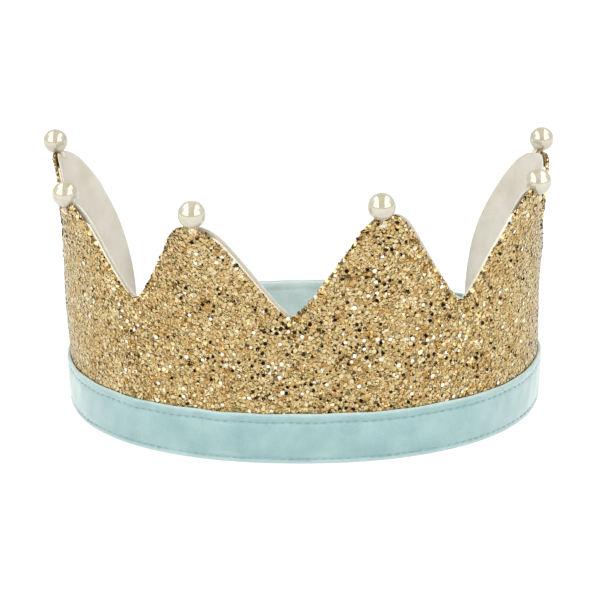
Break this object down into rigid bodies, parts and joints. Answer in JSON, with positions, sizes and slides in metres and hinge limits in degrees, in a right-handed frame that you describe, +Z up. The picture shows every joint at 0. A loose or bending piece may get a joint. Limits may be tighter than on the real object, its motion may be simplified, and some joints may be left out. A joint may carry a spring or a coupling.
{
  "type": "dress-up crown",
  "caption": "Soft fabric crown with glitter cloth points tipped with pearl beads, a cotton lining and a velvet head band, open at the back.",
  "frame": {"origin": "centre of the head opening in the plane of the band's bottom edge", "axes": "+Z up from the band's bottom edge to the points, -Y to the front of the crown, +X to the right as seen from the front"},
  "size_m": [0.1921, 0.1446, 0.0963],
  "materials": {
    "glitter_cloth": "chunky gold glitter cloth, flakes bonded to a woven backing",
    "felt": "pressed felt",
    "cotton_lining": "plain woven cotton, matt",
    "velvet": "short cut-pile velvet with a soft sheen",
    "elastic": "woven elastic tape",
    "topstitch_thread": "polyester sewing thread",
    "pearl": "pearl lacquer over moulded plastic",
    "sewing_thread": "cream cotton hand-sewing thread"
  },
  "bodies": {
    "root": {"glitter_panel": "glitter_cloth", "felt_stiffener": "felt", "cotton_lining": "cotton_lining", "velvet_outer_strip": "velvet", "velvet_inner_strip": "velvet", "back_elastic": "elastic", "upper_seam_needle_thread": "topstitch_thread", "upper_seam_bobbin_thread": "topstitch_thread", "lower_seam_needle_thread": "topstitch_thread", "lower_seam_bobbin_thread": "topstitch_thread", "elastic_tack_left": "topstitch_thread", "elastic_tack_right": "topstitch_thread", "pearl_back_left": "pearl", "pearl_side_left": "pearl", "pearl_front_left": "pearl", "pearl_front_right": "pearl", "pearl_side_right": "pearl", "pearl_back_right": "pearl", "pearl_thread_back_left": "sewing_thread", "pearl_thread_side_left": "sewing_thread", "pearl_thread_front_left": "sewing_thread", "pearl_thread_front_right": "sewing_thread", "pearl_thread_side_right": "sewing_thread", "pearl_thread_back_right": "sewing_thread"}
  },
  "joints": []
}
